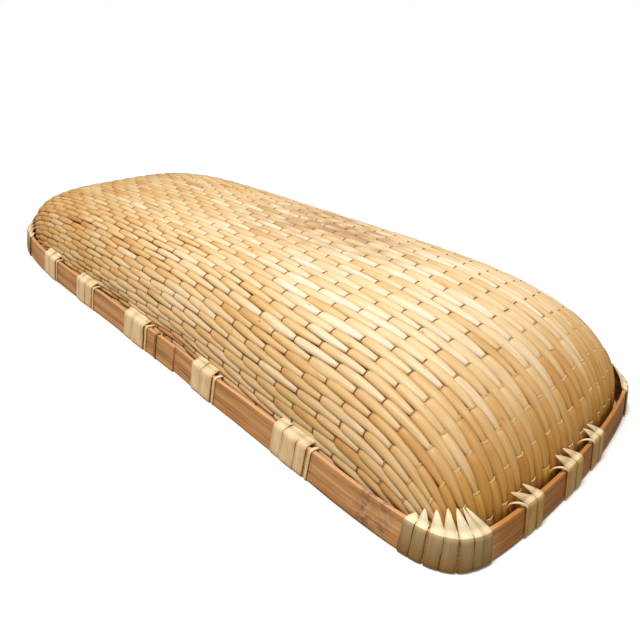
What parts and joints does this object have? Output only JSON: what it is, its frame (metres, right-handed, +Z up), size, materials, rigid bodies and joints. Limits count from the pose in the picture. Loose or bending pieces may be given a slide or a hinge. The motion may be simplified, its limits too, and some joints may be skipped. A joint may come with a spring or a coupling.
{
  "type": "winnowing basket",
  "caption": "Shallow woven winnowing basket resting rim down: long willow rods tied by cord threads, clamped between bamboo hoops with strip lashings.",
  "frame": {"origin": "on the floor below the middle of the basket's length and width, at the underside of the lashings", "axes": "+X along the length towards the high square end, +Y towards the back long side, +Z up; the basket rests upside down on its rim"},
  "size_m": [0.602, 0.2416, 0.0857],
  "materials": {
    "peeled_willow": "smooth peeled rods with a soft sheen, straw coloured",
    "cord": "thin twisted cord, matte",
    "hoop_bamboo": "flat brown bamboo with fine lengthwise grain",
    "inner_bamboo": "split bamboo, plain",
    "split_bamboo": "thin pale split-bamboo strip, fibrous, slight sheen"
  },
  "bodies": {
    "root": {"back_lashing_1": "split_bamboo", "back_lashing_2": "split_bamboo", "back_lashing_3": "split_bamboo", "back_lashing_4": "split_bamboo", "back_lashing_5": "split_bamboo", "back_round_corner_binding": "split_bamboo", "back_square_corner_binding": "split_bamboo", "binding_threads": "cord", "crown_rods_back": "peeled_willow", "crown_rods_front": "peeled_willow", "front_lashing_1": "split_bamboo", "front_lashing_2": "split_bamboo", "front_lashing_3": "split_bamboo", "front_lashing_4": "split_bamboo", "front_lashing_5": "split_bamboo", "front_round_corner_binding": "split_bamboo", "front_square_corner_binding": "split_bamboo", "inner_hoop": "inner_bamboo", "outer_hoop": "hoop_bamboo", "round_end_lashing_1": "split_bamboo", "round_end_lashing_2": "split_bamboo", "round_end_lashing_3": "split_bamboo", "scarf_tie": "split_bamboo", "shoulder_rods_back": "peeled_willow", "shoulder_rods_front": "peeled_willow", "side_rods_back": "peeled_willow", "side_rods_front": "peeled_willow", "square_end_lashing_1": "split_bamboo", "square_end_lashing_2": "split_bamboo", "square_end_lashing_3": "split_bamboo"}
  },
  "joints": []
}
